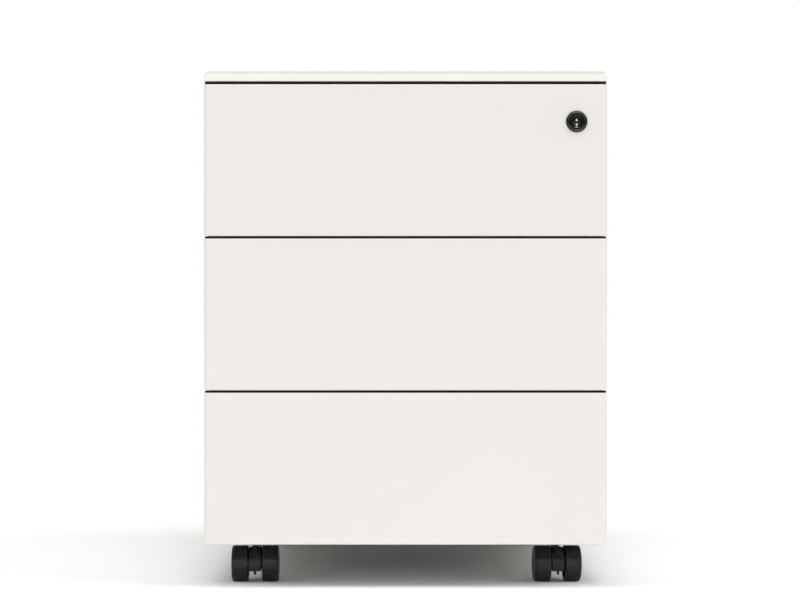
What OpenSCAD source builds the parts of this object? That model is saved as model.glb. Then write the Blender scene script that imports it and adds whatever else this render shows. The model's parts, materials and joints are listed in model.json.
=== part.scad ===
// Steel mobile pedestal: three equal drawers without handles on telescopic slides,
// a cam lock with a lifting bar, and four twin-wheel casters.
// Millimetres. +Z is up, the drawer fronts face -Y, the floor is z = 0.

/* [Body] */
// Overall width
width = 420; // [340:1:500]
// Overall depth
depth = 560; // [450:1:800]
// Overall height over the floor
height = 538; // [480:1:700]
// Lower edge of the fronts and of the body
base_z = 45.5; // [40:0.5:70]
// Sheet thickness
sheet = 1; // [0.7:0.1:1.5]
// Outer bend radius of the top's side edges
top_bend = 6; // [3:0.5:8]
// Height of the top's folded front edge
top_edge = 10.5; // [8:0.5:25]
// Width of the inward flanges on the sides' front edges
flange = 2; // [1.5:0.1:2]
// Width of the flat border around the back panel's recess
back_border = 32; // [20:1:60]
// Depth of the back panel's recess
back_recess = 2.5; // [1:0.5:5]
// How much rounder the back panel's upper corners are than the shell's bends
corner_play = 0.5; // [0.2:0.1:1]

/* [Fronts] */
// Gap between two drawer fronts
gap = 2.5; // [1.5:0.1:4]
// Gap between the upper front and the top's edge
top_gap = 3; // [1.5:0.1:4]
// Depth of a front's side and top returns
front_depth = 18; // [14:1:25]
// Outer bend radius of a front's upright edges
front_bend = 4.5; // [1.5:0.5:8]
// Width of the inward lips on the upright returns
lip = 15; // [8:1:20]
// Distance from the fronts' face to the body behind them
standoff = 40; // [34:1:50]
// Half width of the hat section that carries a front
carrier_half = 162; // [120:1:170]
// Free height over and under the hat section
carrier_play = 12; // [8:1:20]
// Width of the hat section's flanges
carrier_flange = 12; // [8:1:16]
// Space between the inner front and the sides of the shell
inner_gap = 4; // [3.5:0.5:10]
// Lower edge of the inner front above the front's lower edge
inner_low = 7; // [7:0.5:12]
// Upper edge of the inner front below the front's upper edge
inner_high = 2; // [2:0.5:12]
// Distance of a damping strip from the front's outer faces
strip_inset = 1; // [0.5:0.1:2]
// Depth of a damping strip
strip_depth = 9; // [6:1:14]
// Free height over a damping strip
strip_play = 0.5; // [0.3:0.1:1]

/* [Drawer boxes] */
// Width of the slide space on each side
slide_space = 13; // [12.7:0.1:15]
// Height of the drawer boxes
box_height = 92; // [60:1:100]
// Bottom of a box above its front's lower edge
box_lift = 8; // [6:1:15]
// Outside length of a box
box_length = 470; // [350:1:500]
// Width of the folded hem around a box's rim
hem = 5; // [3:1:8]
// Bottom of a catch lug below the box's rim
catch_drop = 14; // [10:1:20]

/* [Slides] */
// Length of the outer members
slide_length = 450; // [300:1:450]
// Height of the outer members
slide_height = 45; // [35:1:45]
// Centre of the slides above a box's bottom
slide_rise = 40; // [30:1:50]
// Sheet thickness of the members
slide_sheet = 1.2; // [1:0.1:1.5]

/* [Lock] */
// Lock centre from the middle of the cabinet
lock_x = 178; // [160:1:185]
// Lock centre below the top surface
lock_drop = 52.4; // [45:0.1:60]
// Bezel diameter
bezel_dia = 22.6; // [20:0.2:26]
// Barrel diameter
barrel_dia = 18.6; // [16:0.2:19]
// Plug diameter
plug_dia = 14; // [12:0.2:15]
// Radius on which the drive pin turns
pin_arm = 12; // [10:0.5:14]
// Thickness of the lock bar
bar_t = 1.5; // [1:0.1:1.5]
// Space between the lock bar and the side of the shell
bar_off = 0.4; // [0.3:0.1:0.4]
// Free space over and under the drive pin in the inner front's opening
cam_play = 2.5; // [2:0.5:4]

/* [Casters] */
// Wheel diameter
wheel_dia = 38; // [36:1:40]
// Distance between the outer faces of the two wheels
caster_width = 51; // [45:1:56]
// Space between the two wheels
wheel_space = 15.2; // [14:0.1:18]
// Axle offset from the swivel axis
trail = 20; // [15:1:25]
// Swivel axes from the middle of the cabinet
caster_x = 160; // [140:1:170]
// Swivel axes of the front casters behind the fronts' face
caster_front = 90; // [70:1:120]
// Swivel axes of the rear casters ahead of the back
caster_rear = 58; // [50:1:120]
// Resting angle of the front left caster
yaw_fl = 0; // [-180:1:180]
// Resting angle of the front right caster
yaw_fr = 4; // [-180:1:180]

/* [Hidden] */
$fn = 64;
y0 = -depth / 2;
y1 = depth / 2;
xo = width / 2;
xi = xo - sheet;
ys = y0 + standoff;
fh = (height - base_z - top_edge - top_gap - 2 * gap) / 3;
function fz(n) = base_z + (3 - n) * (fh + gap);
function bz(n) = fz(n) + box_lift;
function sz(n) = bz(n) + slide_rise;
function cz(n) = bz(n) + box_height - catch_drop;
xb = xi - slide_space;
sy0 = ys + 8;
lz = height - lock_drop;
r_axle = 3;
r_stem = 3.5;
run = 0.05;
plate_z = 40.5;
plate_t = 2.5;
rail_z = plate_z + plate_t;
plate_w = 46;
screw_d = 17;
xm = xi - 2.6;
bar_x = xi - bar_off - bar_t;
pin_c = pin_arm / sqrt(2);
stems = [[-caster_x, y0 + caster_front], [caster_x, y0 + caster_front],
         [-caster_x, y1 - caster_rear], [caster_x, y1 - caster_rear]];

WHITE = [0.90, 0.89, 0.87];
ZINC = [0.72, 0.73, 0.75];
BLACK = [0.06, 0.06, 0.06];

// A box from one corner to the other
module slab(a, b) {
  translate(a) cube([b[0] - a[0], b[1] - a[1], b[2] - a[2]]);
}

// The same piece on the left and on the right
module both() {
  children();
  mirror([1, 0, 0]) children();
}

// Arch-like outline: square feet, rounded upper corners
module arch(w, z0, z1, r) {
  translate([-w / 2, z0]) square([w, z1 - r - z0]);
  translate([-w / 2 + r, z0]) square([w - 2 * r, z1 - z0]);
  for (s = [-1, 1]) translate([s * (w / 2 - r), z1 - r]) circle(r);
}

// An outline in x and z, drawn from y = a to y = b
module along_y(a, b) {
  translate([0, b, 0]) rotate([90, 0, 0]) linear_extrude(b - a) children();
}

// ---------- body ----------

// Folded shell: top, two sides with narrow front flanges, the top's front edge and its inner lip
module shell() {
  color(WHITE) {
    difference() {
      along_y(y0, y1) arch(width, base_z, height, top_bend);
      along_y(y0 + sheet, y1 + 1)
        arch(width - 2 * sheet, base_z - 1, height - sheet, top_bend - sheet);
      slab([-xo - 1, y0 - 1, base_z - 1], [xo + 1, ys, height - top_edge]);
      slab([-xi, y0 - 1, base_z - 1], [xi, ys + 1, height - top_edge]);
    }
    slab([-xi + 3, y0 + sheet, height - top_edge], [xi - 3, y0 + 16, height - top_edge + sheet]);
    both() slab([xi - flange, ys, base_z + sheet], [xi, ys + sheet, height - top_edge]);
  }
}

// Back panel with a shallow recess, set between the sides and under the top
module back_panel() {
  b = back_border;
  r = back_recess;
  color(WHITE) difference() {
    union() {
      along_y(y1 - sheet, y1) arch(2 * xi, base_z, height - sheet, top_bend - sheet + corner_play);
      slab([-xi + b, y1 - r - sheet, base_z + b], [xi - b, y1, height - sheet - b]);
    }
    slab([-xi + b + sheet, y1 - r, base_z + b + sheet], [xi - b - sheet, y1 + 1, height - b - 2 * sheet]);
  }
}

// Bottom panel with turned-up front and rear edges
module bottom_panel() {
  color(WHITE) difference() {
    union() {
      slab([-xi, ys, base_z], [xi, y1 - sheet, base_z + sheet]);
      slab([-xi + 5.1, ys, base_z], [xi - 5.1, ys + sheet, base_z + 6]);
      slab([-xi + 5.1, y1 - 2 * sheet, base_z], [xi - 5.1, y1 - sheet, base_z + 12]);
    }
    screw_holes(2.2);
  }
}

// Folded stretcher behind the top's front edge
module top_rail() {
  color(WHITE) difference() {
    slab([-xi, ys + sheet, height - 22], [xi, ys + 26, height - sheet]);
    slab([-xi - 1, ys + sheet + 1.2, height - 22 + 1.2], [xi + 1, ys + 27, height - sheet - 1.2]);
    slab([-xi - 1, ys + 14, height - 23], [xi + 1, ys + 27, height - 20]);
    both() slab([xi - top_bend + sheet, ys, height - top_bend], [xi + 1, ys + 27, height]);
  }
}

// Doubler strip that spreads the load of two casters
module caster_rail(y) {
  color(ZINC) difference() {
    slab([-caster_x - 32, y - 27, rail_z], [caster_x + 32, y + 27, base_z]);
    screw_holes(2.2);
    for (s = [-1, 1]) translate([s * caster_x, y, rail_z - 1]) cylinder(h = 9, r = 5.2);
  }
}
module caster_rail_front() { caster_rail(y0 + caster_front); }
module caster_rail_rear() { caster_rail(y1 - caster_rear); }

// ---------- slides ----------

// C section between two x planes, opening towards the web's far side
module channel(x_web, x_open, h, t, a, b, z) {
  w0 = min(x_web, x_open);
  w1 = max(x_web, x_open);
  s = x_open > x_web ? 1 : -1;
  difference() {
    slab([w0, a, z - h / 2], [w1, b, z + h / 2]);
    slab([w0 + (s > 0 ? t : -1), a - 1, z - h / 2 + t], [w1 + (s > 0 ? 1 : -t), b + 1, z + h / 2 - t]);
  }
}

rivet_y = [sy0 + 25, sy0 + 150, sy0 + 290, sy0 + slide_length - 35];

// Outer members, fixed to the sides of the shell
module slide_outer(n) {
  color(ZINC) both() difference() {
    channel(xi, xi - 9.5, slide_height, slide_sheet, sy0, sy0 + slide_length, sz(n));
    for (y = rivet_y) translate([xi - 2, y, sz(n)]) rotate([0, 90, 0]) cylinder(h = 3, r = 1.6);
  }
}
module slide_outer_1() { slide_outer(1); }
module slide_outer_2() { slide_outer(2); }
module slide_outer_3() { slide_outer(3); }

// Flat-headed rivets of the outer members
module slide_rivets() {
  color(ZINC) for (n = [1:3], y = rivet_y) both() {
    translate([xi - slide_sheet, y, sz(n)]) rotate([0, 90, 0]) cylinder(h = slide_sheet, r = 1.5);
    translate([xi - slide_sheet - 0.6, y, sz(n)]) rotate([0, 90, 0]) cylinder(h = 0.6, r = 3);
  }
}

// Rubber blocks at the rear ends of the outer members
module drawer_stops() {
  color(BLACK) for (n = [1:3]) both()
    slab([xi - 10.5, sy0 + slide_length - 9, sz(n) - 15],
         [xi - slide_sheet, sy0 + slide_length, sz(n) + 15]);
}

// Middle members, between the outer and the inner ones
module slide_middle(n) {
  color(ZINC) both()
    channel(xm, xm - 8, slide_height - 8, slide_sheet, sy0, sy0 + slide_length - 13, sz(n));
}
module slide_middle_1() { slide_middle(1); }
module slide_middle_2() { slide_middle(2); }
module slide_middle_3() { slide_middle(3); }

// Inner members, fixed to the drawer box
module slide_inner(n) {
  color(ZINC) both()
    channel(xb, xb + 8.6, slide_height - 18, slide_sheet, sy0, sy0 + slide_length - 9.5, sz(n));
}
module slide_inner_1() { slide_inner(1); }
module slide_inner_2() { slide_inner(2); }
module slide_inner_3() { slide_inner(3); }

// ---------- drawers ----------

// Plan outline of a front: square at the back, rounded upright edges ahead
module front_plan(w, a, b, r) {
  translate([-w / 2, a + r]) square([w, b - a - r]);
  translate([-w / 2 + r, a]) square([w - 2 * r, b - a]);
  for (s = [-1, 1]) translate([s * (w / 2 - r), a + r]) circle(r);
}

// Folded pan with returns on all four sides and inward lips
module front(n) {
  color(WHITE) difference() {
    union() {
      difference() {
        translate([0, 0, fz(n)]) linear_extrude(fh) front_plan(width, y0, y0 + front_depth, front_bend);
        translate([0, 0, fz(n) + sheet]) linear_extrude(fh - 2 * sheet)
          front_plan(width - 2 * sheet, y0 + sheet, y0 + front_depth + 1, front_bend - sheet);
      }
      both() slab([xi - lip, y0 + front_depth - sheet, fz(n) + sheet],
                  [xi, y0 + front_depth, fz(n) + fh - sheet]);
      slab([-xi + lip, y0 + front_depth - sheet, fz(n) + sheet],
           [xi - lip, y0 + front_depth, fz(n) + 6]);
      slab([-xi + lip, y0 + front_depth - sheet, fz(n) + fh - 6],
           [xi - lip, y0 + front_depth, fz(n) + fh - sheet]);
    }
    if (n == 1) translate([lock_x, y0 - 1, lz]) rotate([-90, 0, 0])
      cylinder(h = 3, d = barrel_dia + 0.2);
  }
}
module front_1() { front(1); }
module front_2() { front(2); }
module front_3() { front(3); }

// Soft strip on a front's top return, which fills the gap above it
module damping_strip(n) {
  t = (n == 1 ? top_gap : gap) - strip_play;
  color(BLACK) translate([0, 0, fz(n) + fh]) linear_extrude(t)
    front_plan(width - 2 * strip_inset, y0 + strip_inset, y0 + strip_inset + strip_depth,
               front_bend - strip_inset);
}
module damping_strip_1() { damping_strip(1); }
module damping_strip_2() { damping_strip(2); }
module damping_strip_3() { damping_strip(3); }

// Inner front against the box, and the hat section ahead of it that carries the front
module carrier(n) {
  z0 = fz(n) + carrier_play;
  z1 = fz(n) + fh - carrier_play;
  left = -carrier_half;
  right = n == 1 ? lock_x - pin_arm - carrier_flange - 10 : carrier_half;
  color(WHITE) {
    difference() {
      slab([left, y0 + sheet, z0], [right, ys, z1]);
      slab([left + sheet, y0, z0 - 1], [right - sheet, ys - sheet, z1 + 1]);
    }
    slab([left - carrier_flange, y0 + sheet, z0], [left, y0 + 2 * sheet, z1]);
    slab([right, y0 + sheet, z0], [right + carrier_flange, y0 + 2 * sheet, z1]);
    difference() {
      slab([-xi + inner_gap, ys - sheet, fz(n) + inner_low],
           [xi - inner_gap, ys, fz(n) + fh - inner_high]);
      if (n == 1) slab([lock_x - 2 * cam_play, ys - 2, lz - pin_arm - cam_play],
                       [lock_x + pin_arm + 2 * cam_play, ys + 1, lz + pin_arm + cam_play]);
    }
  }
}
module carrier_1() { carrier(1); }
module carrier_2() { carrier(2); }
module carrier_3() { carrier(3); }

// Open-topped box with a folded hem around its rim
module box(n) {
  z0 = bz(n);
  z1 = z0 + box_height;
  ye = ys + box_length;
  color(WHITE) difference() {
    slab([-xb, ys, z0], [xb, ye, z1]);
    slab([-xb + sheet, ys + sheet, z0 + sheet], [xb - sheet, ye - sheet, z1 - sheet]);
    slab([-xb + hem, ys + hem, z1 - 2 * sheet], [xb - hem, ye - hem, z1 + 1]);
  }
}
module box_1() { box(1); }
module box_2() { box(2); }
module box_3() { box(3); }

// Lug on the right side of a box, held back by a hook of the lock bar
module catch_lug(n) {
  color(ZINC) slab([xb, sy0 - 2.4, cz(n)], [xb + 7, sy0 + 0.6, cz(n) + 8]);
}
module catch_1() { catch_lug(1); }
module catch_2() { catch_lug(2); }
module catch_3() { catch_lug(3); }

// ---------- lock ----------

// A cylinder along y at the lock's centre
module lock_cyl(a, b, r) {
  translate([lock_x, a, lz]) rotate([-90, 0, 0]) cylinder(h = b - a, r = r);
}

// Barrel and bezel
module lock_housing() {
  color(BLACK) difference() {
    union() {
      lock_cyl(y0, y0 + 34, barrel_dia / 2);
      translate([lock_x, y0, lz]) rotate([90, 0, 0]) rotate_extrude() {
        square([bezel_dia / 2, 1.4]);
        square([bezel_dia / 2 - 1.1, 2.5]);
        translate([bezel_dia / 2 - 1.1, 1.4]) circle(1.1);
      }
    }
    lock_cyl(y0 - 3, y0 + 35, plug_dia / 2 + run);
    translate([lock_x, y0 - 2.6, lz]) rotate([-90, 0, 0])
      cylinder(h = 1, r1 = plug_dia / 2 + 1.1, r2 = plug_dia / 2 + run);
  }
}

// Ring nut behind the front's face
module lock_nut() {
  color(ZINC) translate([lock_x, y0 + sheet, lz]) rotate([-90, 0, 0]) difference() {
    cylinder(h = 4.5, r = 12.5, $fn = 6);
    translate([0, 0, -1]) cylinder(h = 7, r = barrel_dia / 2 + 0.02);
  }
}

// Turning plug with its keyway
module lock_plug() {
  color(BLACK) difference() {
    lock_cyl(y0 - 1.7, y0 + 34.5, plug_dia / 2);
    slab([lock_x - 1.6, y0 - 3, lz - 6.4], [lock_x + 1.6, y0 + 8, lz + 3.2]);
  }
}

// Wafer edges that show in the keyway
module lock_wafers() {
  color(ZINC) {
    for (z = [1.5, -3.1]) translate([lock_x, y0 + 0.6, lz + z]) rotate([-90, 0, 0])
      cylinder(h = 7.4, r = 1.1);
    slab([lock_x - 1.2, y0 + 1.2, lz - 6.2], [lock_x + 1.2, y0 + 8, lz - 5.4]);
  }
}

// Cam on the plug's end, with the pin that drives the lift plate
module lock_cam() {
  color(ZINC) {
    lock_cyl(y0 + 34.5, y0 + 37, 8.4);
    translate([lock_x, y0 + 34.5, lz]) rotate([0, 45, 0]) slab([0, 0, -3], [pin_arm, 2.5, 3]);
    translate([lock_x + pin_c, y0 + 34.5, lz - pin_c]) rotate([-90, 0, 0]) cylinder(h = 2.5, r = 3.6);
    translate([lock_x, y0 + 36.5, lz]) rotate([-90, 0, 0]) cylinder(h = 3, r = 3.4, $fn = 6);
    translate([lock_x + pin_c, y0 + 36.5, lz - pin_c]) rotate([-90, 0, 0]) cylinder(h = 10, r = 2);
  }
}

// Upright strip along the right side, between the flange and the slides' front ends
module lock_bar() {
  color(ZINC) slab([bar_x, ys + 1.6, base_z + 3], [bar_x + bar_t, ys + 7.4, lz + 8]);
}

// Hooks that rise in front of the catch lugs
module lock_hooks() {
  color(ZINC) for (n = [1:3]) slab([xb + 2, ys + 2, cz(n) - 16.3], [bar_x, ys + 5, cz(n) - 2.3]);
}

// Slotted plate that the cam's pin lifts
module lock_lift_plate() {
  z = lz - pin_c;
  color(ZINC) difference() {
    slab([lock_x + 4, ys + 2, z - 5.6], [bar_x, ys + 4, z + 7]);
    slab([lock_x + pin_c - 2.4, ys + 1, z - 2.7], [lock_x + pin_arm + 2.4, ys + 5, z + 2.7]);
  }
}

// Bent clips on the right side, one under each slide, that hold the lock bar
module lock_bar_guides() {
  color(ZINC) for (n = [1:3]) translate([0, 0, bz(n) + 0.5]) {
    slab([bar_x - 1.4, ys + 1.4, 0], [bar_x - 0.4, ys + 9, 15]);
    slab([bar_x - 1.4, ys + 8, 0], [xi - 1, ys + 9, 15]);
    slab([xi - 1, ys + 8, 0], [xi, ys + 17, 15]);
  }
}

// ---------- casters ----------

// Four screw places on each caster plate
module screw_holes(r) {
  for (p = stems, sx = [-1, 1], sy = [-1, 1])
    translate([p[0] + sx * screw_d, p[1] + sy * screw_d, plate_z - 2]) cylinder(h = 14, r = r);
}

// Top plates
module caster_plates() {
  color(ZINC) difference() {
    for (p = stems) translate([p[0], p[1], plate_z]) linear_extrude(plate_t) {
      square([plate_w, plate_w - 8], center = true);
      square([plate_w - 8, plate_w], center = true);
      for (sx = [-1, 1], sy = [-1, 1])
        translate([sx * (plate_w / 2 - 4), sy * (plate_w / 2 - 4)]) circle(4);
    }
    screw_holes(2.2);
    for (p = stems) translate([p[0], p[1], plate_z - 1]) cylinder(h = 5, r = r_stem);
  }
}

// Swivel stems with their collars, riveted into the plates
module caster_stems() {
  color(ZINC) for (p = stems) translate([p[0], p[1], 0]) {
    translate([0, 0, 17]) cylinder(h = rail_z - 17, r = r_stem);
    translate([0, 0, 35]) cylinder(h = 2.6, r = 7);
    translate([0, 0, rail_z]) cylinder(h = 1.6, r = 5);
  }
}

// Pan-head screws through plate, rail and bottom
module caster_screws() {
  color(ZINC) for (p = stems, sx = [-1, 1], sy = [-1, 1])
    translate([p[0] + sx * screw_d, p[1] + sy * screw_d, 0]) {
      translate([0, 0, plate_z]) cylinder(h = base_z + 2.5 - plate_z, r = 2);
      difference() {
        translate([0, 0, plate_z - 1.6]) cylinder(h = 1.6, r = 3.6);
        translate([0, 0, plate_z - 2]) linear_extrude(1.2) {
          square([4, 0.9], center = true);
          square([0.9, 4], center = true);
        }
      }
    }
}

// Housing between the wheels: arched web over the axle, stem socket behind it
module housing() {
  zc = wheel_dia / 2;
  w = wheel_space - 1.6;
  color(BLACK) difference() {
    union() {
      intersection() {
        translate([-w / 2, -trail, zc]) rotate([0, 90, 0]) cylinder(h = w, r = 17.2);
        slab([-w, -trail - 20, 12], [w, 0, 60]);
      }
      intersection() {
        translate([-3.2, -trail, zc]) rotate([0, 90, 0]) cylinder(h = 6.4, r = 18.5);
        slab([-w, -trail - 20, 15], [w, -8, 60]);
      }
      slab([-w / 2, -trail, 12], [w / 2, 0, 31]);
      translate([0, 0, 12]) cylinder(h = 21, r = w / 2);
      translate([0, 0, 33]) cylinder(h = 1.5, r1 = w / 2, r2 = w / 2 - 1.3);
      translate([0, -trail - 11.5, 7.6]) cylinder(h = 8, r = 1.3);
    }
    translate([0, 0, 16]) cylinder(h = 30, r = r_stem + run);
    translate([0, 0, 34.5]) cylinder(h = 8, r = 9);
    translate([-20, -trail, zc]) rotate([0, 90, 0]) cylinder(h = 40, r = r_axle);
    both() {
      translate([w / 2 - 0.7, -trail, zc]) rotate([0, 90, 0]) difference() {
        cylinder(h = 2, r = 13.5);
        translate([0, 0, -1]) cylinder(h = 4, r = 6);
      }
    }
  }
}

// Steel axle
module axle() {
  color(ZINC) translate([-caster_width / 2 + 3.4, -trail, wheel_dia / 2]) rotate([0, 90, 0])
    cylinder(h = caster_width - 6.8, r = r_axle);
}

// One wheel: rounded tread, slightly domed outer face, open inner side
module wheel() {
  a = wheel_space / 2;
  b = caster_width / 2 - 0.7;
  r = wheel_dia / 2;
  color(BLACK) translate([0, -trail, r]) rotate([0, 90, 0]) rotate_extrude($fn = 96) difference() {
    union() {
      translate([0, a + 1]) square([r, b - a - 3.4]);
      translate([0, a]) square([r - 1, b - a]);
      translate([r - 1, a + 1]) circle(1);
      translate([r - 2.4, b - 2.4]) circle(2.4);
      translate([0, b - 2.4]) square([r - 2.4, 2.4]);
      translate([0, b]) square([9, 0.7]);
      polygon([[9, b + 0.7], [9, b - 0.2], [14.6, b - 0.2], [14.2, b]]);
    }
    translate([r - 2.4, b - 2.4]) difference() {
      square([3, 3]);
      circle(2.4);
    }
    translate([14.6, b - 0.8]) square([0.9, 1]);
    translate([0, a - 1]) square([r_axle + run, b - a - 1.3]);
    translate([6, a - 1]) square([9.2, 11]);
  }
}

module place(i, yaw) {
  translate([stems[i][0], stems[i][1], 0]) rotate([0, 0, yaw]) children();
}
module caster_fl_housing() { place(0, yaw_fl) housing(); }
module caster_fl_axle() { place(0, yaw_fl) axle(); }
module caster_fl_wheel_l() { place(0, yaw_fl) mirror([1, 0, 0]) wheel(); }
module caster_fl_wheel_r() { place(0, yaw_fl) wheel(); }
module caster_fr_housing() { place(1, yaw_fr) housing(); }
module caster_fr_axle() { place(1, yaw_fr) axle(); }
module caster_fr_wheel_l() { place(1, yaw_fr) mirror([1, 0, 0]) wheel(); }
module caster_fr_wheel_r() { place(1, yaw_fr) wheel(); }
module caster_rl_housing() { place(2, 0) housing(); }
module caster_rl_axle() { place(2, 0) axle(); }
module caster_rl_wheel_l() { place(2, 0) mirror([1, 0, 0]) wheel(); }
module caster_rl_wheel_r() { place(2, 0) wheel(); }
module caster_rr_housing() { place(3, 0) housing(); }
module caster_rr_axle() { place(3, 0) axle(); }
module caster_rr_wheel_l() { place(3, 0) mirror([1, 0, 0]) wheel(); }
module caster_rr_wheel_r() { place(3, 0) wheel(); }

shell();
back_panel();
bottom_panel();
top_rail();
caster_rail_front();
caster_rail_rear();
slide_outer_1();
slide_outer_2();
slide_outer_3();
slide_rivets();
drawer_stops();
lock_bar_guides();
caster_plates();
caster_stems();
caster_screws();
front_1();
damping_strip_1();
carrier_1();
box_1();
slide_inner_1();
catch_1();
front_2();
damping_strip_2();
carrier_2();
box_2();
slide_inner_2();
catch_2();
front_3();
damping_strip_3();
carrier_3();
box_3();
slide_inner_3();
catch_3();
slide_middle_1();
slide_middle_2();
slide_middle_3();
lock_housing();
lock_nut();
lock_plug();
lock_wafers();
lock_cam();
lock_bar();
lock_hooks();
lock_lift_plate();
caster_fl_housing();
caster_fl_axle();
caster_fl_wheel_l();
caster_fl_wheel_r();
caster_fr_housing();
caster_fr_axle();
caster_fr_wheel_l();
caster_fr_wheel_r();
caster_rl_housing();
caster_rl_axle();
caster_rl_wheel_l();
caster_rl_wheel_r();
caster_rr_housing();
caster_rr_axle();
caster_rr_wheel_l();
caster_rr_wheel_r();
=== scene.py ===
import json
import math

import bmesh
import bpy
from mathutils import Matrix, Vector


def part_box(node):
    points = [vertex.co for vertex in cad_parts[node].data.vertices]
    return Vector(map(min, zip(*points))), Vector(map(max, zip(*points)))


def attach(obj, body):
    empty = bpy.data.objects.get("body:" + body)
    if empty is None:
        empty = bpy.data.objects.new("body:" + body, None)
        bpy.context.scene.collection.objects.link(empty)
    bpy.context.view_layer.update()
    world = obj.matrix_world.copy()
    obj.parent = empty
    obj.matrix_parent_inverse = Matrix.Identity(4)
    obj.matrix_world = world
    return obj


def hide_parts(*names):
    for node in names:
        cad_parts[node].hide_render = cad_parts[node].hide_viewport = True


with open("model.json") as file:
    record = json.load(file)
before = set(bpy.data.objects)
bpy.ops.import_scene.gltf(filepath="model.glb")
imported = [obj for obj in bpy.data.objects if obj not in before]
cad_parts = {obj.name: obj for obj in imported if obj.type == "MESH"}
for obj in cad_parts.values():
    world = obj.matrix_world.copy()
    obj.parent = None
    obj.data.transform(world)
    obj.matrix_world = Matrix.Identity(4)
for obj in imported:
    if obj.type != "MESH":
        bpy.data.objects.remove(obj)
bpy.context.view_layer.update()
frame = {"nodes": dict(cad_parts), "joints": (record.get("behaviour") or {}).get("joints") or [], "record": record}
NODES = frame["nodes"]
JOINTS = {j["name"]: j for j in frame["joints"]}

# ---------------------------------------------------------------- camera, light, floor
scene = bpy.context.scene
scene.view_settings.view_transform = "Standard"
scene.view_settings.look = "None"

cam_data = bpy.data.cameras.new("camera")
cam_data.lens = 112.5
cam_data.sensor_width = 36
cam_data.clip_end = 60
cam = bpy.data.objects.new("camera", cam_data)
cam.location = (-0.0058, -2.88, 0.300)
cam.rotation_euler = (math.radians(90), 0, 0)
scene.collection.objects.link(cam)
scene.camera = cam

world = bpy.data.worlds.new("studio")
world.use_nodes = True
back = world.node_tree.nodes["Background"]
back.inputs["Color"].default_value = (1, 1, 1, 1)
seen = world.node_tree.nodes.new("ShaderNodeLightPath")
white = world.node_tree.nodes.new("ShaderNodeMapRange")
white.inputs["To Min"].default_value = 0.22
white.inputs["To Max"].default_value = 1.0
world.node_tree.links.new(seen.outputs["Is Camera Ray"], white.inputs["Value"])
world.node_tree.links.new(white.outputs["Result"], back.inputs["Strength"])
scene.world = world


def soft_sun(name, azimuth, elevation, spread, strength, tint):
    """A wide soft light from far away; azimuth 0 is ahead of the fronts, positive to the right."""
    data = bpy.data.lights.new(name, "SUN")
    data.angle = math.radians(spread)
    data.energy = strength
    data.color = tint
    o = bpy.data.objects.new(name, data)
    a, e = math.radians(azimuth), math.radians(elevation)
    aim = Vector((-math.sin(a) * math.cos(e), math.cos(a) * math.cos(e), -math.sin(e)))
    o.rotation_euler = aim.to_track_quat("-Z", "Y").to_euler()
    scene.collection.objects.link(o)


soft_sun("low_front_light", 3, 16, 14, 0.34, (1.0, 0.995, 0.99))
soft_sun("front_light", 4, 36, 30, 0.54, (1.0, 0.995, 0.99))
soft_sun("top_light", 5, 79, 60, 1.68, (1.0, 0.998, 0.996))
soft_sun("left_light", -74, 40, 30, 0.76, (1.0, 0.998, 0.996))
soft_sun("right_light", 74, 38, 32, 1.0, (1.0, 0.998, 0.996))


# ---------------------------------------------------------------- material helpers
def nodes_of(mat):
    """The material's node tree and its main shader."""
    mat.use_nodes = True
    tree = mat.node_tree
    return tree, tree.nodes["Principled BSDF"]


def add(tree, kind, **values):
    """A new node; each value goes to the socket of that name, or else to the node's own setting."""
    n = tree.nodes.new(kind)
    for k, v in values.items():
        if k in n.inputs:
            n.inputs[k].default_value = v
        else:
            setattr(n, k, v)
    return n


def coords(tree, stretch=None):
    """Object coordinates in metres, scaled along each axis if asked for."""
    tc = add(tree, "ShaderNodeTexCoord")
    if stretch is None:
        return tc.outputs["Object"]
    m = add(tree, "ShaderNodeMapping")
    m.inputs["Scale"].default_value = stretch
    tree.links.new(tc.outputs["Object"], m.inputs["Vector"])
    return m.outputs["Vector"]


def noise(tree, vec, scale, detail=2.0, rough=0.5):
    n = add(tree, "ShaderNodeTexNoise", Scale=scale, Detail=detail, Roughness=rough)
    tree.links.new(vec, n.inputs["Vector"])
    return n.outputs["Fac"]


def ramp(tree, fac, stops):
    """Colour ramp from (position, colour) stops."""
    r = add(tree, "ShaderNodeValToRGB")
    while len(r.color_ramp.elements) < len(stops):
        r.color_ramp.elements.new(0.5)
    for e, (p, c) in zip(r.color_ramp.elements, stops):
        e.position = p
        e.color = (*c, 1)
    tree.links.new(fac, r.inputs["Fac"])
    return r.outputs["Color"]


def spread(tree, fac, low, high):
    """The middle half of a noise's range mapped to low and high, and held at them outside it."""
    m = add(tree, "ShaderNodeMapRange")
    m.inputs["From Min"].default_value = 0.25
    m.inputs["From Max"].default_value = 0.75
    m.inputs["To Min"].default_value = low
    m.inputs["To Max"].default_value = high
    tree.links.new(fac, m.inputs["Value"])
    return m.outputs["Result"]


def bump(tree, shader, height, strength, distance, after=None):
    """Bump from a height on the shader's normal, over an earlier bump if there is one."""
    b = add(tree, "ShaderNodeBump", Strength=strength, Distance=distance)
    tree.links.new(height, b.inputs["Height"])
    if after is not None:
        tree.links.new(after, b.inputs["Normal"])
    tree.links.new(b.outputs["Normal"], shader.inputs["Normal"])
    return b.outputs["Normal"]


def step(tree, value, start, end):
    """Smooth step from 0 at start to 1 at end."""
    m = add(tree, "ShaderNodeMapRange", interpolation_type="SMOOTHSTEP")
    m.inputs["From Min"].default_value = start
    m.inputs["From Max"].default_value = end
    tree.links.new(value, m.inputs["Value"])
    return m.outputs["Result"]


def times(tree, a, b):
    m = add(tree, "ShaderNodeMath", operation="MULTIPLY")
    tree.links.new(a, m.inputs[0])
    tree.links.new(b, m.inputs[1])
    return m.outputs["Value"]


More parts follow.
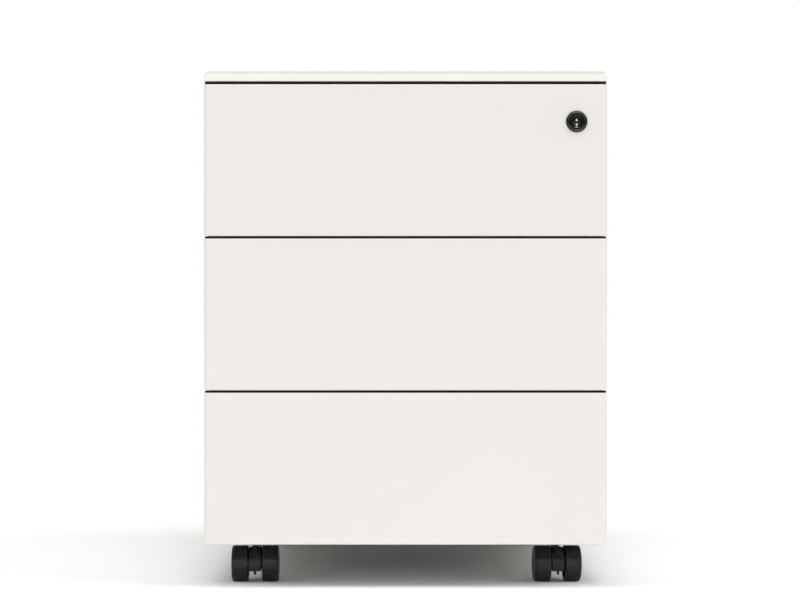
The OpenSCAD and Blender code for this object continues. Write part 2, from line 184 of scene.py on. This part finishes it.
def powder(name, base, dark, rough=0.42, fold=None):
    """Baked powder coat: fine orange peel and faint clouding.

    A fold is the y of the front, the z of the top, and the colour of the painted shade that darkens the rounded
    edge between them.
    """
    mat = bpy.data.materials.new(name)
    tree, sh = nodes_of(mat)
    vec = coords(tree)
    cloud = noise(tree, vec, 7, 3, 0.55)
    stops = [(0.3, dark), (0.7, base)]
    if fold:
        # Painted shade: near the rounded top front edge the coat's colour is drawn down towards the fold colour
        y, z, fold_shade = fold
        xyz = add(tree, "ShaderNodeSeparateXYZ")
        tree.links.new(vec, xyz.inputs["Vector"])
        away = step(tree, xyz.outputs["Z"], z - 0.0014, z - 0.0044)
        behind = step(tree, xyz.outputs["Y"], y + 0.0012, y + 0.0034)
        most = add(tree, "ShaderNodeMath", operation="MAXIMUM")
        tree.links.new(away, most.inputs[0])
        tree.links.new(behind, most.inputs[1])
        cloud = times(tree, spread(tree, cloud, 0.3, 0.7), most.outputs["Value"])
        stops = [(0.0, fold_shade), (0.3, dark), (0.7, base)]
    tree.links.new(ramp(tree, cloud, stops), sh.inputs["Base Color"])
    peel = noise(tree, vec, 620, 2.5, 0.5)
    grain = noise(tree, vec, 2600, 1.5, 0.5)
    tree.links.new(spread(tree, peel, rough - 0.04, rough + 0.05), sh.inputs["Roughness"])
    first = bump(tree, sh, peel, 0.22, 0.00012)
    bump(tree, sh, grain, 0.12, 0.00004, first)
    sh.inputs["Specular IOR Level"].default_value = 0.45
    return mat


def zinc(name, base=(0.62, 0.635, 0.65), rough=0.34):
    """Bright zinc plate with a faint grain and drawn lines."""
    mat = bpy.data.materials.new(name)
    tree, sh = nodes_of(mat)
    vec = coords(tree)
    v = add(tree, "ShaderNodeTexVoronoi", Scale=260)
    tree.links.new(vec, v.inputs["Vector"])
    cloud = noise(tree, vec, 38, 4, 0.6)
    a = tuple(c * 0.86 for c in base)
    tree.links.new(ramp(tree, cloud, [(0.3, a), (0.7, base)]), sh.inputs["Base Color"])
    lines = noise(tree, coords(tree, (1500, 40, 1500)), 1.0, 3, 0.6)
    tree.links.new(spread(tree, v.outputs["Distance"], rough - 0.06, rough + 0.1), sh.inputs["Roughness"])
    bump(tree, sh, lines, 0.12, 0.00003)
    sh.inputs["Metallic"].default_value = 1.0
    return mat


def black(name, base, light, rough, grain_scale, grain, spec):
    """Moulded or coated black with a fine grain and a trace of dust."""
    mat = bpy.data.materials.new(name)
    tree, sh = nodes_of(mat)
    vec = coords(tree)
    dust = noise(tree, vec, 90, 5, 0.65)
    tree.links.new(ramp(tree, dust, [(0.45, base), (0.78, light)]), sh.inputs["Base Color"])
    fine = noise(tree, vec, grain_scale, 2, 0.5)
    tree.links.new(spread(tree, fine, rough - 0.05, rough + 0.08), sh.inputs["Roughness"])
    bump(tree, sh, fine, grain, 0.00006)
    sh.inputs["Specular IOR Level"].default_value = spec
    return mat


# ---------------------------------------------------------------- materials
M_WHITE = powder("powder_white", (0.729, 0.710, 0.678), (0.717, 0.698, 0.667))
M_INSIDE = powder("powder_white_inside", (0.705, 0.687, 0.657), (0.69, 0.672, 0.643), 0.5)
M_ZINC = zinc("zinc_plate")
M_NICKEL = zinc("nickel", (0.88, 0.86, 0.82), 0.4)
M_NYLON = black("nylon_black", (0.0085, 0.0072, 0.0058), (0.022, 0.019, 0.016), 0.46, 1500, 0.25, 0.36)
M_TREAD = black("tread_black", (0.0075, 0.0063, 0.005), (0.02, 0.0175, 0.015), 0.4, 1100, 0.12, 0.36)
M_LOCK = black("lock_black", (0.0045, 0.0045, 0.0045), (0.010, 0.0095, 0.009), 0.17, 3600, 0.03, 0.5)
M_RUBBER = black("rubber_black", (0.007, 0.007, 0.007), (0.018, 0.017, 0.016), 0.8, 900, 0.3, 0.12)


def pale_floor():
    """The studio's nearly white floor."""
    mat = bpy.data.materials.new("floor_pale")
    tree, sh = nodes_of(mat)
    fleck = ramp(tree, noise(tree, coords(tree), 3, 4, 0.6),
                 [(0.3, (0.945, 0.945, 0.945)), (0.7, (0.96, 0.96, 0.96))])
    tree.links.new(fleck, sh.inputs["Base Color"])
    sh.inputs["Roughness"].default_value = 0.75
    sh.inputs["Specular IOR Level"].default_value = 0.2
    bm = bmesh.new()
    bmesh.ops.create_grid(bm, x_segments=4, y_segments=4, size=14)
    me = bpy.data.meshes.new("floor")
    bm.to_mesh(me)
    bm.free()
    o = bpy.data.objects.new("floor", me)
    me.materials.append(mat)
    scene.collection.objects.link(o)
    return o


pale_floor()


# ---------------------------------------------------------------- mesh helpers
def finish_mesh(bm, name, mat, body, stands_for, sharp=32, sheet=0.0, edge=0.0):
    """Makes the object, folds in its modifiers and lets it ride on its CAD body."""
    bmesh.ops.remove_doubles(bm, verts=bm.verts, dist=1e-6)
    me = bpy.data.meshes.new(name)
    bm.to_mesh(me)
    bm.free()
    o = bpy.data.objects.new(name, me)
    scene.collection.objects.link(o)
    me.materials.append(mat)
    if sheet:
        m = o.modifiers.new("sheet", "SOLIDIFY")
        m.thickness = sheet
        m.offset = -1
        m.use_even_offset = True
        m.use_quality_normals = True
    if edge:
        m = o.modifiers.new("edge", "BEVEL")
        m.width = edge
        m.segments = 2
        m.limit_method = "ANGLE"
        m.angle_limit = math.radians(45)
        m.use_clamp_overlap = True
    settle(o, sharp)
    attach(o, body)
    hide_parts(*stands_for)
    return o


def settle(o, sharp):
    """Applies an object's modifiers, then smooths it up to an angle."""
    deps = bpy.context.evaluated_depsgraph_get()
    deps.update()
    me = bpy.data.meshes.new_from_object(o.evaluated_get(deps))
    o.modifiers.clear()
    old = o.data
    o.data = me
    bpy.data.meshes.remove(old)
    me.name = o.name
    me.shade_smooth()
    me.set_sharp_from_angle(angle=math.radians(sharp))
    w = o.modifiers.new("even", "WEIGHTED_NORMAL")
    w.keep_sharp = True
    w.weight = 80


def boolean(bm, other, operation):
    """Two closed solids joined or cut through the exact boolean; both inputs are used up."""
    objects = []
    for b in (bm, other):
        me = bpy.data.meshes.new("tmp")
        b.to_mesh(me)
        b.free()
        o = bpy.data.objects.new("tmp", me)
        scene.collection.objects.link(o)
        objects.append(o)
    m = objects[0].modifiers.new("boolean", "BOOLEAN")
    m.object = objects[1]
    m.operation = operation
    m.solver = "EXACT"
    deps = bpy.context.evaluated_depsgraph_get()
    deps.update()
    me = bpy.data.meshes.new_from_object(objects[0].evaluated_get(deps))
    out = bmesh.new()
    out.from_mesh(me)
    for o in objects:
        d = o.data
        bpy.data.objects.remove(o)
        bpy.data.meshes.remove(d)
    bpy.data.meshes.remove(me)
    return out


def cut(bm, other):
    return boolean(bm, other, "DIFFERENCE")


def unite(bm, other):
    return boolean(bm, other, "UNION")


def edges_where(bm, test):
    """Edges whose two ends pass a test."""
    return [e for e in bm.edges if test(e.verts[0].co, e.verts[1].co)]


def bend(bm, edges, r, seg):
    """Rounds edges to an outer bend radius."""
    if edges:
        bmesh.ops.bevel(bm, geom=edges, offset=r, offset_type="OFFSET", segments=seg, profile=0.5,
                        affect="EDGES", clamp_overlap=True)


def near(a, b, tol=1e-5):
    return abs(a - b) < tol


def corner_verts(bm, a, b):
    """The eight corners of a box, by (0 or 1 in x, in y, in z)."""
    return {(i, j, k): bm.verts.new(((a.x, b.x)[i], (a.y, b.y)[j], (a.z, b.z)[k]))
            for i in (0, 1) for j in (0, 1) for k in (0, 1)}


def outward(bm, toward):
    """Turns an open sheet's faces outward, judged by the one furthest in a direction; returns it."""
    bmesh.ops.recalc_face_normals(bm, faces=bm.faces)
    face = max(bm.faces, key=lambda f: f.calc_center_median().dot(toward))
    if face.normal.dot(toward) < 0:
        bmesh.ops.reverse_faces(bm, faces=bm.faces)
    return face


def turn_in(bm, low, high):
    """Adds a lip around a sheet's open rim, drawn in to lie between two corners."""
    rim = [e for e in bm.edges if e.is_boundary]
    new = bmesh.ops.extrude_edge_only(bm, edges=rim)["geom"]
    for w in [g for g in new if isinstance(g, bmesh.types.BMVert)]:
        w.co = [max(lo, min(hi, c)) for lo, hi, c in zip(low, high, w.co)]
    bmesh.ops.remove_doubles(bm, verts=bm.verts, dist=1e-6)


def lathe(profile, steps=96, axis="Z"):
    """Closed solid of revolution from (radius, height) points along the axis."""
    bm = bmesh.new()
    rings = []
    for r, h in profile:
        if r < 1e-7:
            rings.append([bm.verts.new((0, 0, h))])
        else:
            rings.append([bm.verts.new((r * math.cos(2 * math.pi * k / steps),
                                        r * math.sin(2 * math.pi * k / steps), h)) for k in range(steps)])
    for a, b in zip(rings, rings[1:]):
        for k in range(steps):
            n = (k + 1) % steps
            if len(a) == 1 and len(b) == 1:
                continue
            if len(a) == 1:
                bm.faces.new((a[0], b[n], b[k]))
            elif len(b) == 1:
                bm.faces.new((a[k], a[n], b[0]))
            else:
                bm.faces.new((a[k], a[n], b[n], b[k]))
    if len(rings[0]) > 1 and len(rings[-1]) > 1 and profile[0] != profile[-1]:
        bm.faces.new(rings[-1])
        bm.faces.new(list(reversed(rings[0])))
    elif profile[0] == profile[-1]:
        bmesh.ops.remove_doubles(bm, verts=bm.verts, dist=1e-7)
    bmesh.ops.recalc_face_normals(bm, faces=bm.faces)
    if axis == "X":
        bm.transform(Matrix.Rotation(math.radians(90), 4, "Y"))
    if axis == "-Y":
        bm.transform(Matrix.Rotation(math.radians(90), 4, "X"))
    return bm


def arc(cx, cy, r, a0, a1, n):
    """Points on a circle from angle a0 to a1, in degrees."""
    return [(cx + r * math.cos(math.radians(a0 + (a1 - a0) * i / n)),
             cy + r * math.sin(math.radians(a0 + (a1 - a0) * i / n))) for i in range(n + 1)]


def plate(outline, lo, hi, axis):
    """Closed prism of a flat outline: (y, z) points along X, or (x, z) along Y."""
    bm = bmesh.new()
    put = {"X": lambda p, t: (t, p[0], p[1]), "Y": lambda p, t: (p[0], t, p[1])}[axis]
    a = [bm.verts.new(put(p, lo)) for p in outline]
    b = [bm.verts.new(put(p, hi)) for p in outline]
    bm.faces.new(a)
    bm.faces.new(b)
    for i in range(len(outline)):
        j = (i + 1) % len(outline)
        bm.faces.new((a[i], a[j], b[j], b[i]))
    bmesh.ops.recalc_face_normals(bm, faces=bm.faces)
    return bm


def merge(*bms):
    """Several meshes laid together without a boolean."""
    out = bms[0]
    for b in bms[1:]:
        me = bpy.data.meshes.new("tmp")
        b.to_mesh(me)
        b.free()
        out.from_mesh(me)
        bpy.data.meshes.remove(me)
    return out


# ---------------------------------------------------------------- folded sheet pieces
lo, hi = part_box("shell")
XO, TOP, Y0, Y1, Z0 = hi.x, hi.z, lo.y, hi.y, lo.z
# Places: the body's front edge in y, and the lower edge of the top's fold in z
BODY_FRONT = Y0 + 0.040
FOLD_LOW = TOP - 0.0105
# Sheet thickness, outer bend radii, and widths of lips and hems, in metres
SHEET = 0.001
TOP_BEND = 0.006
FOLD_BEND = 0.0028
FOLD_LIP = 0.016
FOLD_INSET = 0.004
SIDE_BEND = 0.0014
SIDE_LIP = 0.003
SMALL_BEND = 0.0012
FRONT_BEND = 0.0045
FRONT_LIP = 0.016
FRONT_RETURN = 0.006
BOX_CORNER = 0.0022
BOX_BEND = 0.0018
BOX_HEM = 0.005
# Rounding of cut sheet edges, box rims, moulded edges and the CAD nodes that stay
CUT_EDGE = 0.00022
RIM_EDGE = 0.0002
MOULD_EDGE = 0.00015
NODE_EDGE = 0.00025
# Radius of the lock's hole in the top front
LOCK_HOLE = 0.0094
# Centre of the lock on the front's face
LOCK = Vector(JOINTS["lock_turn"]["pos_m"])
# The shell's coat: the fronts' white painted lighter, as painted light, with painted shade on its rounded top
# front fold, for which it needs the place of its fold
M_SHELL_PAINTED_LIGHT = powder("powder_white_shell_painted_light", (0.802, 0.790, 0.755), (0.796, 0.784, 0.749),
                 fold=(Y0, TOP, (0.545, 0.539, 0.518)))


def shell():
    """Top and two sides in one sheet, with the top's folded front edge and the sides' narrow flanges."""
    bm = bmesh.new()
    left = [(-XO, Z0), (-XO, FOLD_LOW)] + arc(-XO + TOP_BEND, TOP - TOP_BEND, TOP_BEND, 180, 90, 10)
    pts = left + [(-x, z) for x, z in reversed(left)]
    rows = {}
    for key, y in (("a", Y0), ("b", BODY_FRONT), ("c", Y1)):
        lowest = FOLD_LOW - 1e-6 if key == "a" else Z0
        rows[key] = [bm.verts.new((x, y, z)) if z >= lowest else None for x, z in pts]
    for p, q in (("a", "b"), ("b", "c")):
        for i in range(len(pts) - 1):
            quad = (rows[p][i], rows[p][i + 1], rows[q][i + 1], rows[q][i])
            if None not in quad:
                bm.faces.new(quad)
    bm.faces.new([v for v in rows["a"] if v])
    lip = [bm.verts.new((sx * (XO - FOLD_INSET), Y0 + FOLD_LIP, FOLD_LOW)) for sx in (-1, 1)]
    first, last = rows["a"][1], rows["a"][-2]
    bm.faces.new((first, last, lip[1], lip[0]))
    for i, sx in ((0, -1), (-1, 1)):
        j = 1 if i == 0 else -2
        a, b = rows["b"][i], rows["b"][j]
        c = bm.verts.new((sx * (XO - SIDE_LIP), BODY_FRONT, b.co.z))
        d = bm.verts.new((sx * (XO - SIDE_LIP), BODY_FRONT, a.co.z))
        bm.faces.new((a, b, c, d))
    outward(bm, Vector((0, 0, 1)))
    bend(bm, edges_where(bm, lambda a, b: near(a.y, Y0) and near(b.y, Y0) and
                         max(a.z, b.z) > FOLD_LOW + 1e-5), FOLD_BEND, 8)
    bend(bm, edges_where(bm, lambda a, b: near(a.y, Y0) and near(b.y, Y0) and near(a.z, FOLD_LOW)
                         and near(b.z, FOLD_LOW) and abs(a.x - b.x) > 0.1), SMALL_BEND, 4)
    bend(bm, edges_where(bm, lambda a, b: near(a.y, BODY_FRONT) and near(b.y, BODY_FRONT)
                         and near(abs(a.x), XO) and near(abs(b.x), XO) and abs(a.z - b.z) > 0.2),
         SIDE_BEND, 4)
    return finish_mesh(bm, "shell_folded", M_SHELL_PAINTED_LIGHT, "cabinet", ["shell"],
                       sheet=SHEET, edge=CUT_EDGE)


def pan(n):
    """A folded drawer front with returns and inward lips."""
    a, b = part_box(f"front_{n}")
    bm = bmesh.new()
    v = corner_verts(bm, a, b)
    bm.faces.new((v[0, 0, 0], v[1, 0, 0], v[1, 0, 1], v[0, 0, 1]))
    bm.faces.new((v[0, 1, 0], v[0, 0, 0], v[0, 0, 1], v[0, 1, 1]))
    bm.faces.new((v[1, 0, 0], v[1, 1, 0], v[1, 1, 1], v[1, 0, 1]))
    bm.faces.new((v[0, 1, 0], v[1, 1, 0], v[1, 0, 0], v[0, 0, 0]))
    bm.faces.new((v[0, 0, 1], v[1, 0, 1], v[1, 1, 1], v[0, 1, 1]))
    ahead = Vector((0, -1, 0))
    outward(bm, ahead)
    bend(bm, edges_where(bm, lambda p, q: near(p.y, a.y) and near(q.y, a.y) and abs(p.z - q.z) > 0.05),
         FRONT_BEND, 8)
    bend(bm, edges_where(bm, lambda p, q: near(p.z, q.z) and (near(p.z, a.z) or near(p.z, b.z))
                         and not (near(p.y, b.y) and near(q.y, b.y))), SMALL_BEND, 4)
    inset = Vector((FRONT_LIP, 0, FRONT_RETURN))
    turn_in(bm, a + inset, b - inset)
    face = outward(bm, ahead)
    if n == 1:
        holed_front(bm, face, LOCK_HOLE)
    return finish_mesh(bm, f"front_{n}_folded", M_WHITE, f"drawer_{n}", [f"front_{n}"],
                       sheet=SHEET, edge=CUT_EDGE)


def holed_front(bm, face, r):
    """Opens a round hole for the lock: the flat face becomes one part over it and one under it."""
    y = face.calc_center_median().y
    ends = []
    for e in [e for e in face.edges if near(e.verts[0].co.x, e.verts[1].co.x)]:
        low = min(e.verts, key=lambda w: w.co.z)
        ends.append(bmesh.utils.edge_split(e, low, (LOCK.z - low.co.z) / e.calc_length())[1])
    loop = list(face.verts)
    half = 32
    angles = [math.pi * k / half for k in range(2 * half)]
    ring = [bm.verts.new((LOCK.x + r * math.cos(t), y, LOCK.z + r * math.sin(t))) for t in angles]
    bm.faces.remove(face)
    for first, last in (ends, reversed(ends)):
        i = loop.index(first)
        turned = loop[i:] + loop[:i]
        outer = turned[:turned.index(last) + 1]
        above = max(w.co.z for w in outer) > LOCK.z + r
        inner = ring[:half + 1] if above else ring[half:] + ring[:1]
        if (inner[0].co - outer[-1].co).length > (inner[-1].co - outer[-1].co).length:
            inner.reverse()
        f = bm.faces.new(outer + inner)
        f.normal_update()
        if f.normal.y > 0:
            f.normal_flip()


def tray(n):
    """A folded drawer box with a hemmed rim."""
    a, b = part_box(f"box_{n}")
    bm = bmesh.new()
    v = corner_verts(bm, a, b)
    bm.faces.new((v[0, 0, 0], v[0, 1, 0], v[1, 1, 0], v[1, 0, 0]))
    for p, q in (((0, 0), (1, 0)), ((1, 0), (1, 1)), ((1, 1), (0, 1)), ((0, 1), (0, 0))):
        bm.faces.new((v[p[0], p[1], 0], v[q[0], q[1], 0], v[q[0], q[1], 1], v[p[0], p[1], 1]))
    down = Vector((0, 0, -1))
    outward(bm, down)
    bend(bm, edges_where(bm, lambda p, q: near(p.x, q.x) and near(p.y, q.y)), BOX_CORNER, 4)
    bend(bm, edges_where(bm, lambda p, q: near(p.z, a.z) and near(q.z, a.z)), BOX_BEND, 4)
    inset = Vector((BOX_HEM, BOX_HEM, 0))
    turn_in(bm, a + inset, b - inset)
    outward(bm, down)
    return finish_mesh(bm, f"box_{n}_folded", M_INSIDE, f"drawer_{n}", [f"box_{n}"],
                       sheet=SHEET, edge=RIM_EDGE)


shell()
for n in (1, 2, 3):
    pan(n)
    tray(n)


# ---------------------------------------------------------------- lock
def lock():
    """Turned bezel with a round brim, and a domed plug with its keyway cut in."""
    bezel, barrel, bore, plug = 0.0113, 0.0093, 0.0075, 0.007
    barrel_end, plug_end = -0.034, -0.0345
    brim = 0.0022
    prof = [(bore, barrel_end), (barrel, barrel_end), (barrel, 0.0), (bezel, 0.0)]
    prof += arc(bezel - brim, 0.0003, brim, 0, 90, 12)
    prof += [(0.0088, 0.00248), (0.0085, 0.0024), (0.0081, 0.0020), (0.0078, 0.0013),
             (0.0076, 0.0007), (bore, 0.0003), (bore, barrel_end)]
    bm = lathe(prof, 96, "-Y")
    bm.transform(Matrix.Translation(LOCK))
    finish_mesh(bm, "lock_bezel", M_LOCK, "drawer_1", ["lock_housing"], sharp=38)

    rim, dome = 0.0004, 0.0085
    prof = [(0.0, plug_end), (plug, plug_end), (plug, 0.0002)]
    prof += arc(plug - rim, 0.0002, rim, 0, 90, 4)
    prof += [(0.0061, 0.0006), (0.0059, -0.0014)] + arc(0.0, 0.0007 - dome, dome, 48, 90, 16)
    bm = lathe(prof, 96, "-Y")
    half = [(0.0011, -0.0064), (0.0016, -0.0059), (0.0016, 0.0027), (0.0011, 0.0032)]
    keyway = plate(half + [(-x, z) for x, z in reversed(half)], -0.004, 0.008, "Y")
    bm = cut(bm, keyway)
    bm.transform(Matrix.Translation(LOCK))
    finish_mesh(bm, "lock_plug_turned", M_LOCK, "lock_plug", ["lock_plug"],
                sharp=30, edge=0.0001)


lock()


# ---------------------------------------------------------------- casters
# Inner and outer face of a wheel from the caster's middle, its radius and its axle bore
WHEEL_FACES = (0.0076, 0.0248)
WHEEL_RADIUS = 0.019
AXLE_BORE = 0.00305
# Half width and radius of the housing's web, height of its underside, and axle to swivel axis
WEB_HALF = 0.0068
WEB_RADIUS = 0.0172
HOUSING_LOW = 0.012
TRAIL = 0.020


def wheel_bm(side):
    """One of the twin wheels: rounded tread, outer face with a groove and a hub, ribbed open inside."""
    a, b = WHEEL_FACES
    r = WHEEL_RADIUS
    prof = [(AXLE_BORE, a + 0.0008), (0.0052, a + 0.0008), (0.0058, a + 0.0014), (0.006, a + 0.0108),
            (0.0152, a + 0.0108), (0.0156, a + 0.0004), (0.0160, a), (r - 0.0010, a)]
    prof += arc(r - 0.0010, a + 0.0010, 0.0010, -90, 0, 4)[1:]
    prof += arc(r - 0.0024, b - 0.0024, 0.0024, 0, 90, 8)
    prof += [(0.0156, b + 0.0001), (0.0153, b - 0.0002), (0.0151, b - 0.0007), (0.0147, b - 0.0007),
             (0.0144, b - 0.0001), (0.0141, b + 0.0002), (0.0120, b + 0.00045), (0.0080, b + 0.00065),
             (0.0052, b + 0.0007), (0.0050, b + 0.0003), (0.0046, b + 0.0002), (0.0042, b + 0.0003),
             (0.0038, b + 0.0007), (0.0, b + 0.0007)]
    prof = [(0.0, b - 0.0023), (AXLE_BORE, b - 0.0023)] + prof
    bm = lathe(prof, 96, "X")
    ribs = []
    for k in range(6):
        w = plate([(0.0056, -0.0007), (0.0156, -0.0007), (0.0156, 0.0007), (0.0056, 0.0007)],
                  a + 0.0018, a + 0.0112, "X")
        w.transform(Matrix.Rotation(math.radians(60 * k + 15), 4, "X"))
        ribs.append(w)
    bm = merge(bm, *ribs)
    if side == "l":
        bm.transform(Matrix.Scale(-1, 4, (1, 0, 0)))
        bmesh.ops.reverse_faces(bm, faces=bm.faces)
    return bm


def housing_bm():
    """Web between the wheels with a hooded front, stem socket and small lug; axle at the origin."""
    w, r = WEB_HALF, WEB_RADIUS
    low = HOUSING_LOW - WHEEL_RADIUS
    start = math.degrees(math.asin(low / r))
    web = [(-y, z) for y, z in arc(0, 0, r, start, 90, 26)]
    web += [(0.006, r - 0.0001), (0.0135, 0.0140), (TRAIL, 0.0136), (TRAIL, low), (0.006, low)]
    bm = plate(web, -w, w, "X")
    bend(bm, edges_where(bm, lambda p, q: near(p.x, q.x) and near(abs(p.x), w)), 0.0009, 3)
    prof = [(0.0, low), (0.0061, low), (0.0067, low + 0.0006), (0.0068, 0.0135), (0.0064, 0.0146),
            (0.0056, 0.0153), (0.0036, 0.0155), (0.0, 0.0155)]
    sock = lathe(prof, 72, "Z")
    sock.transform(Matrix.Translation((0, TRAIL, 0)))
    bm = unite(bm, sock)
    ridge_half = 0.0031
    outline = arc(0, 0, 0.0185, 28, 112, 16) + arc(0, 0, 0.0150, 112, 28, 12)
    ridge = plate([(-y, z) for y, z in outline], -ridge_half, ridge_half, "X")
    bend(ridge, edges_where(ridge, lambda p, q: near(p.x, q.x) and (p.yz.length > 0.018)), 0.0007, 2)
    bm = unite(bm, ridge)
    for ang in (52, 60, 68):
        turn = math.radians(ang)
        at = (0, -(r - 0.0005) * math.cos(turn), (r - 0.0005) * math.sin(turn))
        for near_x, far_x in ((-0.02, -ridge_half), (ridge_half, 0.02)):
            groove = plate([(-0.0002, -0.0004), (0.0010, -0.0004), (0.0010, 0.0004), (-0.0002, 0.0004)],
                           near_x, far_x, "X")
            groove.transform(Matrix.Translation(at) @ Matrix.Rotation(math.pi - turn, 4, "X"))
            bm = cut(bm, groove)
    prof = [(0.0, -0.0112), (0.0008, -0.0112), (0.0012, -0.0108), (0.0013, -0.004), (0.0, -0.004)]
    lug = lathe(prof, 24, "Z")
    lug.transform(Matrix.Translation((0, -0.0115, 0)))
    bm = unite(bm, lug)
    bore = lathe([(0.0, 0.0), (0.00355, 0.0), (0.00355, 0.03), (0.0, 0.03)], 48, "Z")
    bore.transform(Matrix.Translation((0, TRAIL, -0.003)))
    bm = cut(bm, bore)
    for sx in (-1, 1):
        ring = lathe([(0.006, 0), (0.0135, 0), (0.0135, 0.003), (0.006, 0.003), (0.006, 0)], 64, "X")
        ring.transform(Matrix.Translation(((w - 0.0007) if sx > 0 else (-w - 0.0023), 0, 0)))
        bm = cut(bm, ring)
    return bm


# One housing, built once and placed four times
base_house = housing_bm()
base_house_mesh = bpy.data.meshes.new("tmp_house")
base_house.to_mesh(base_house_mesh)
base_house.free()

for tag in ("fl", "fr", "rl", "rr"):
    spin = JOINTS[f"wheel_{tag}_r_spin"]
    centre, ax = Vector(spin["pos_m"]), Vector(spin["axis"])
    place = Matrix.Translation(centre) @ Matrix.Rotation(math.atan2(ax.y, ax.x), 4, "Z")
    bm = bmesh.new()
    bm.from_mesh(base_house_mesh)
    bm.transform(place)
    finish_mesh(bm, f"caster_{tag}_housing_moulded", M_NYLON, f"caster_{tag}",
                [f"caster_{tag}_housing"], sharp=35, edge=MOULD_EDGE)
    for s in "lr":
        bm = wheel_bm(s)
        bm.transform(place)
        finish_mesh(bm, f"caster_{tag}_wheel_{s}_moulded", M_TREAD, f"wheel_{tag}_{s}",
                    [f"caster_{tag}_wheel_{s}"], sharp=35)
bpy.data.meshes.remove(base_house_mesh)


# ---------------------------------------------------------------- CAD nodes that stay
SLOTS = {
    "white_paint": M_INSIDE, "zinc_steel": M_ZINC, "black_lock": M_LOCK,
    "black_nylon": M_NYLON, "black_tread": M_TREAD, "rubber": M_RUBBER,
}
slots = {p["node"]: p["material_slot"] for p in frame["record"]["subparts"]}
for name, o in NODES.items():
    if o.hide_render:
        continue
    mat = SLOTS[slots[name]]
    # The back panel and top rail take the shell's coat, the white painted lighter as painted light
    if name in ("back_panel", "top_rail"):
        mat = M_SHELL_PAINTED_LIGHT
    if name == "lock_wafers":
        mat = M_NICKEL
    for held in o.material_slots:
        held.material = mat
    if not o.material_slots:
        o.data.materials.append(mat)
    # One clean flat face for each side, with a slight round on the edges
    w = o.modifiers.new("weld", "WELD")
    w.merge_threshold = 1e-5
    d = o.modifiers.new("flat", "DECIMATE")
    d.decimate_type = "DISSOLVE"
    d.angle_limit = math.radians(1.0)
    b = o.modifiers.new("edge", "BEVEL")
    b.width = NODE_EDGE
    b.segments = 2
    b.limit_method = "ANGLE"
    b.angle_limit = math.radians(40)
    n = o.modifiers.new("even", "WEIGHTED_NORMAL")
    n.keep_sharp = True

bpy.context.view_layer.update()
